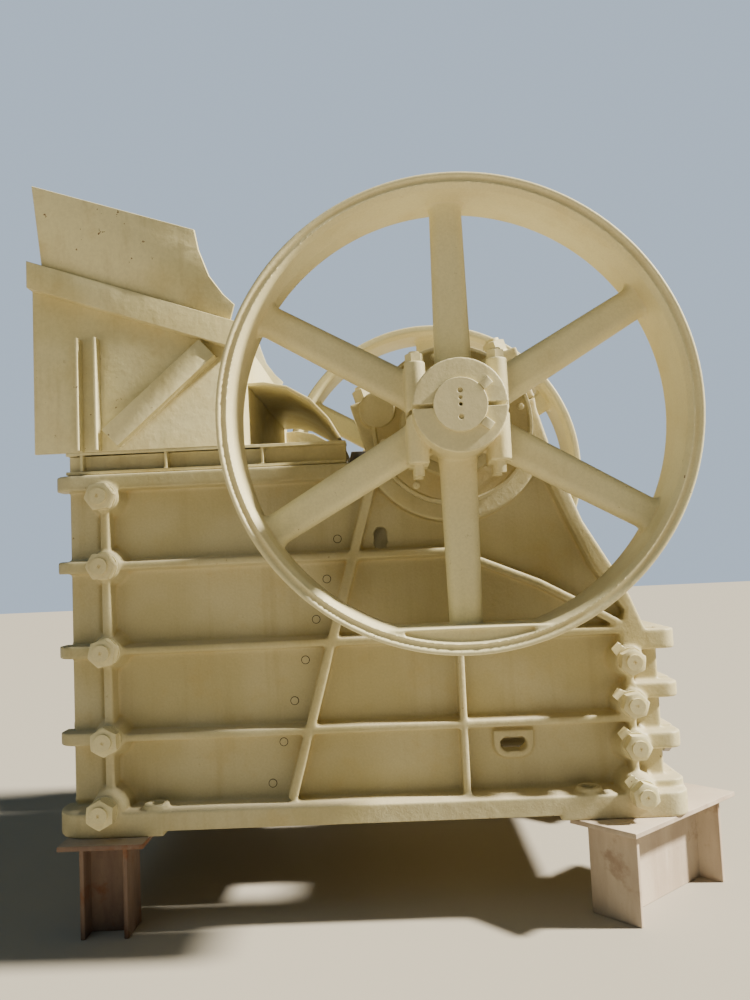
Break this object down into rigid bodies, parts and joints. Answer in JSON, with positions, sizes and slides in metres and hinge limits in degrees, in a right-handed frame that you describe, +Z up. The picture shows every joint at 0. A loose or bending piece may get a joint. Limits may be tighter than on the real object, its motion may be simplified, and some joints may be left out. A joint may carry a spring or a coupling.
{
  "type": "single-toggle jaw crusher",
  "caption": "Jaw crusher with ribbed cast side frames, split-hub flywheels on an eccentric shaft, a feed hopper and temporary steel supports.",
  "frame": {"origin": "middle of the base rectangle at ground level, under the machine", "axes": "+Z up, +Y along the shaft away from the viewer, +X towards the discharge (toggle) end"},
  "size_m": [2.9198, 2.58, 3.0735],
  "materials": {
    "cream_paint": "satin cream paint over cast and plate steel",
    "bare_steel": "oiled machined steel",
    "wear_steel": "cast manganese steel, scuffed by rock",
    "weathered_steel": "weathered, dusty rolled steel"
  },
  "bodies": {
    "frame": {"side_frame_near": "cream_paint", "side_frame_far": "cream_paint", "front_frame": "cream_paint", "rear_frame": "cream_paint", "front_frame_bolts": "cream_paint", "rear_frame_bolts": "cream_paint", "bearing_housing_near": "cream_paint", "bearing_housing_far": "cream_paint", "bearing_cap_near": "cream_paint", "bearing_cap_far": "cream_paint", "cap_bolts": "cream_paint", "fixed_jaw_face": "wear_steel", "cheek_plates": "wear_steel", "toggle_seat_block": "cream_paint", "toggle_plate": "cream_paint", "tension_rods": "bare_steel", "tension_springs": "bare_steel", "hopper_rail_near": "cream_paint", "hopper_rail_far": "cream_paint", "hopper_side_near": "cream_paint", "hopper_side_far": "cream_paint", "hopper_front_wall": "cream_paint", "hopper_end_wall": "cream_paint", "hopper_top_channels": "cream_paint", "hopper_stiffeners": "cream_paint", "hopper_braces": "cream_paint", "hopper_extension_near": "cream_paint", "hopper_extension_far": "cream_paint", "pitman_guard": "cream_paint", "rear_support_near": "weathered_steel", "rear_support_far": "weathered_steel", "front_support_near": "weathered_steel", "front_support_far": "weathered_steel"},
    "rotor": {"eccentric_shaft": "bare_steel", "flywheel_near": "cream_paint", "flywheel_far": "cream_paint", "hub_bolts": "cream_paint", "shaft_keys": "cream_paint"},
    "pitman_body": {"pitman": "cream_paint", "swing_jaw_face": "wear_steel"}
  },
  "joints": [
    {"name": "shaft_spin", "type": "hinge", "parent": "frame", "child": "rotor", "pos_m": [0.30712, 0, 1.97], "axis": [0, 1, 0], "continuous": true},
    {"name": "pitman_swing", "type": "hinge", "parent": "rotor", "child": "pitman_body", "pos_m": [0.30712, 0, 1.982], "axis": [0, 1, 0], "continuous": true}
  ],
  "couplings": [
    {"joint": "pitman_swing", "follows": "shaft_spin", "ratio": -1}
  ]
}
